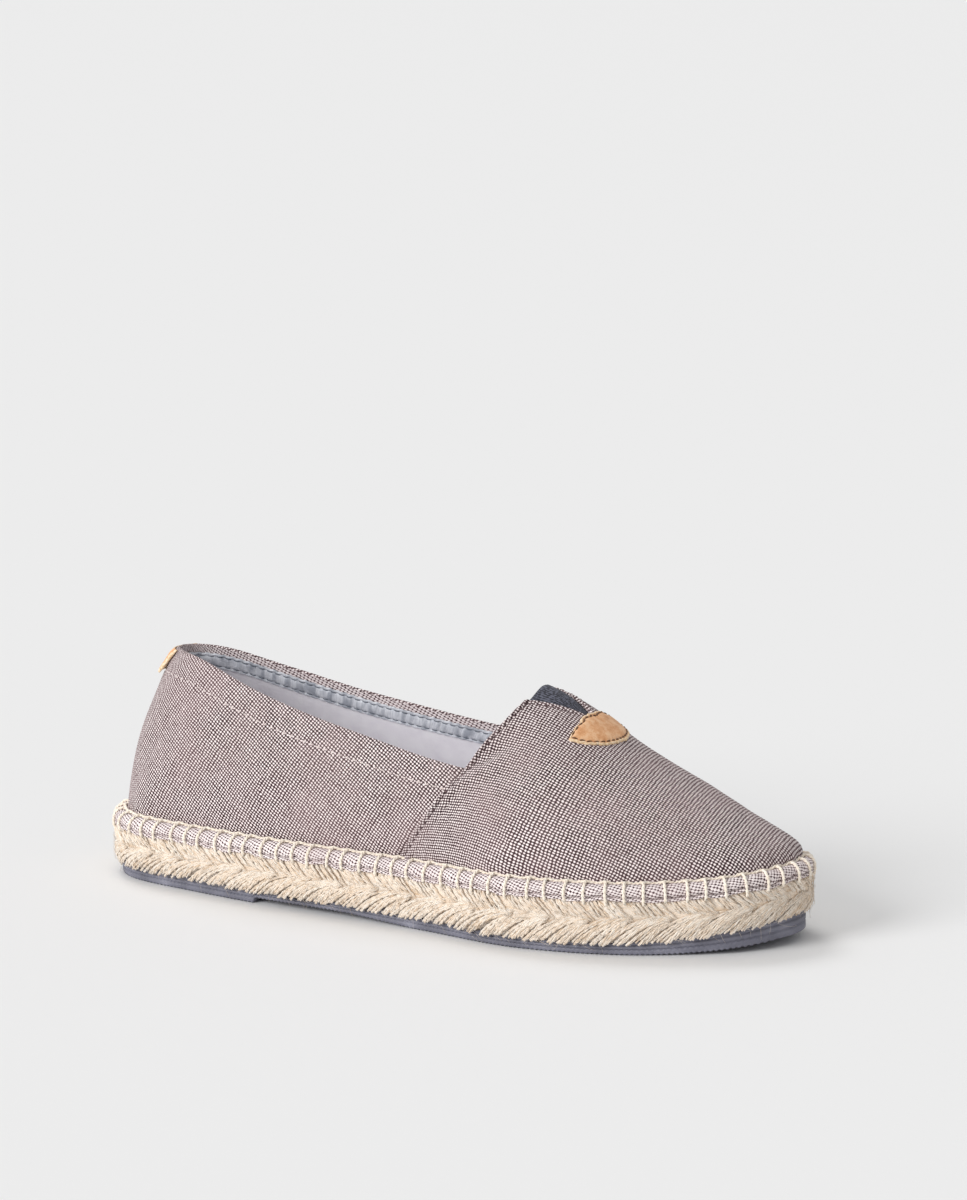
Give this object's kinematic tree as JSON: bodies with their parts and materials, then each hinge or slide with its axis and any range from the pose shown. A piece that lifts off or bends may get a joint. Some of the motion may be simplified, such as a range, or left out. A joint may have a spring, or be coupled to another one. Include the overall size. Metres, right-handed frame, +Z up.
{
  "type": "espadrille",
  "caption": "Slip-on espadrille shoe with canvas upper, elastic throat gore, leather tabs, braided jute sole and thin rubber outsole",
  "frame": {"origin": "centre of the shoe's bounding box, on the floor under the sole", "axes": "+X towards the toe, +Y towards the inner side of the foot, +Z up"},
  "size_m": [0.2806, 0.1018, 0.0864],
  "materials": {
    "outsole_rubber": "matt moulded rubber, blue grey",
    "jute_braid": "natural jute yarn in a flat braid",
    "insole_cloth": "lilac grey lining cloth over jute",
    "canvas": "two-tone plain woven canvas, pale threads over mauve brown",
    "elastic": "dark slate knitted elastic",
    "tab_leather": "tan leather with raw pale edges",
    "binding": "smooth pale blue grey binding strip",
    "lining_cloth": "fine lilac grey lining cloth",
    "thread": "twisted ecru cotton sewing thread"
  },
  "bodies": {
    "root": {"outsole": "outsole_rubber", "midsole": "jute_braid", "insole": "insole_cloth", "upper": "canvas", "gore": "elastic", "throat_tab": "tab_leather", "collar_binding": "binding", "heel_tab": "tab_leather"}
  },
  "joints": []
}
